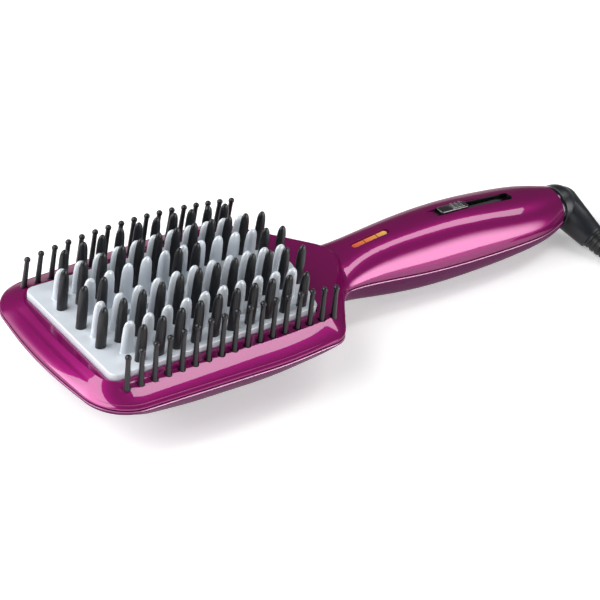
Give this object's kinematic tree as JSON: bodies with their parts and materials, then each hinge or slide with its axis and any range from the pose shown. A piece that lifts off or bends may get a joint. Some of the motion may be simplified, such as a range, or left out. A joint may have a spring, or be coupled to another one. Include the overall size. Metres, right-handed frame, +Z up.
{
  "type": "hair straightening brush",
  "caption": "Heated paddle brush with a finned heating plate, bristles, slide switch, light bar and coiled swivel cord, for straightening hair.",
  "frame": {"origin": "centre of the flat on the head's back, on the surface the brush lies on", "axes": "+X from the head along the handle to the cord, +Y to the side away from the viewer, +Z up out of the bristles"},
  "size_m": [0.3943, 0.1479, 0.0551],
  "materials": {
    "shell_plastic": "gloss",
    "plate_coating": "satin",
    "bristle_nylon": "satin",
    "heat_resin": "matt",
    "heater_ceramic": "matt",
    "insulation_film": "satin",
    "sheet_steel": "brushed",
    "screw_steel": "satin",
    "sensor_glass": "gloss",
    "module_resin": "matt",
    "wire_silicone": "matt",
    "board_laminate": "satin",
    "switch_resin": "matt",
    "track_plastic": "gloss",
    "button_plastic": "satin",
    "lens_acrylic": "gloss",
    "led_resin": "gloss",
    "swivel_plastic": "satin",
    "cord_pvc": "satin",
    "pin_brass": "polished"
  },
  "bodies": {
    "brush": {"front_shell": "shell_plastic", "rear_shell": "shell_plastic", "heating_plate": "plate_coating", "inner_bristles_1": "bristle_nylon", "inner_bristles_2": "bristle_nylon", "inner_bristles_3": "bristle_nylon", "inner_bristles_4": "bristle_nylon", "inner_bristles_5": "bristle_nylon", "side_bristles_near": "bristle_nylon", "side_bristles_far": "bristle_nylon", "bristle_carrier": "heat_resin", "ptc_heater_near": "heater_ceramic", "ptc_heater_far": "heater_ceramic", "insulation_sheet": "insulation_film", "heater_clamp": "sheet_steel", "plate_screws": "screw_steel", "carrier_screws": "screw_steel", "emitter_pins": "sheet_steel", "ion_generator": "module_resin", "thermistor": "sensor_glass", "thermal_fuse": "sheet_steel", "heater_wires": "wire_silicone", "main_board": "board_laminate", "slide_switch": "switch_resin", "switch_track": "track_plastic", "indicator_lens": "lens_acrylic", "indicator_leds": "led_resin", "shell_screws": "screw_steel", "end_ring": "swivel_plastic", "swivel_bush": "switch_resin", "mains_wires": "wire_silicone", "cord_lead": "cord_pvc", "cord_coil": "cord_pvc", "cord_tie": "cord_pvc", "cord_tail": "cord_pvc", "plug_body": "cord_pvc", "plug_pins": "pin_brass"},
    "button": {"slide_button": "button_plastic"},
    "swivel": {"swivel_elbow": "swivel_plastic", "swivel_clip": "switch_resin", "strain_relief": "cord_pvc"}
  },
  "joints": [
    {"name": "switch_slide", "type": "slide", "parent": "brush", "child": "button", "axis": [0.998, 0, -0.0626], "range_m": [0, 0.024]},
    {"name": "cord_swivel", "type": "hinge", "parent": "brush", "child": "swivel", "pos_m": [0.2, 0, 0.0137], "axis": [-1, 0, 0], "continuous": true, "deforming": ["cord_lead"]}
  ]
}
